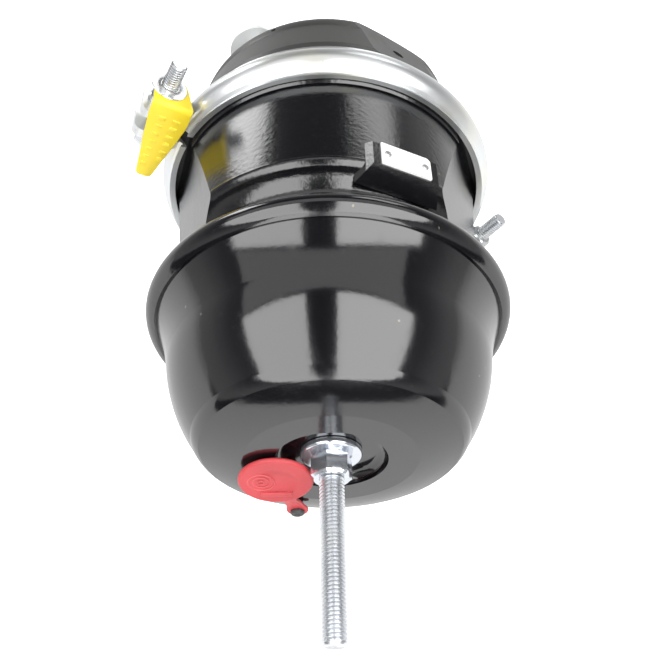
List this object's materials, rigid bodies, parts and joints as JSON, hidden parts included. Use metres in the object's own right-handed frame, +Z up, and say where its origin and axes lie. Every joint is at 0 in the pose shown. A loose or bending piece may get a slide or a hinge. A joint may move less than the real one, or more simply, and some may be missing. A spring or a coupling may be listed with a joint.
{
  "type": "spring brake chamber",
  "caption": "Two-part air brake chamber: bowl-shaped spring head, cast flange case, clamp ring and push rod housing, spring caged by a release bolt.",
  "frame": {"origin": "centre of the mounting face, on the push rod axis", "axes": "+Y along the push rod, out of the mounting face; +Z up as shown, square to the axis; the release bolt points to -Y"},
  "size_m": [0.2384, 0.458, 0.2086],
  "materials": {
    "case_paint": "gloss black paint",
    "shell_paint": "gloss black paint",
    "zinc": "bright zinc plate",
    "plate_metal": "satin",
    "tag_yellow": "satin",
    "cap_red": "satin",
    "peg_black": "satin",
    "diaphragm_rubber": "matt",
    "spring_steel": "semi-gloss coating",
    "plain_steel": "plain",
    "bush_plastic": "matt"
  },
  "bodies": {
    "chamber": {"spring_head": "shell_paint", "flange_case": "case_paint", "nameplate": "plate_metal", "nameplate_rivets": "plate_metal", "clamp_half_upper": "zinc", "clamp_half_lower": "zinc", "clamp_bolts": "zinc", "clamp_nuts": "zinc", "stroke_tag": "tag_yellow", "tag_retainer": "zinc", "non_pressure_housing": "shell_paint", "mounting_studs": "zinc", "stud_nuts": "zinc", "stud_washers": "zinc", "service_diaphragm": "diaphragm_rubber", "return_spring": "spring_steel", "centre_guide": "bush_plastic", "guide_o_rings": "diaphragm_rubber", "adapter_return_spring": "spring_steel", "spring_diaphragm": "diaphragm_rubber", "power_spring": "spring_steel", "release_washer": "zinc", "cap_peg": "peg_black"},
    "spring_piston": {"pressure_plate": "plain_steel", "adapter_plate": "plain_steel", "adapter_push_rod": "plain_steel", "release_bolt": "zinc"},
    "service_piston": {"push_plate": "plain_steel", "push_rod": "zinc", "push_rod_jam_nut": "zinc"},
    "nut": {"release_nut": "zinc"},
    "cap": {"dust_cap": "cap_red"}
  },
  "joints": [
    {"name": "spring_brake_stroke", "type": "slide", "parent": "chamber", "child": "spring_piston", "axis": [0, 1, 0], "range_m": [0, 0.0762], "deforming": ["power_spring", "adapter_return_spring", "spring_diaphragm"]},
    {"name": "service_stroke", "type": "slide", "parent": "chamber", "child": "service_piston", "axis": [0, 1, 0], "range_m": [0, 0.0762], "deforming": ["return_spring", "service_diaphragm"]},
    {"name": "release_nut_turn", "type": "hinge", "parent": "chamber", "child": "nut", "pos_m": [0, -0.27, 0], "axis": [0, 1, 0], "range_deg": [-14045, 0]},
    {"name": "dust_cap_swing", "type": "hinge", "parent": "chamber", "child": "cap", "pos_m": [-0.0193, -0.2686, -0.0543], "axis": [0, -1, 0], "range_deg": [0, 75]}
  ],
  "couplings": [
    {"joint": "service_stroke", "follows": "spring_brake_stroke", "ratio": 1},
    {"joint": "release_nut_turn", "follows": "spring_brake_stroke", "rad_per_m": -3215.8}
  ]
}
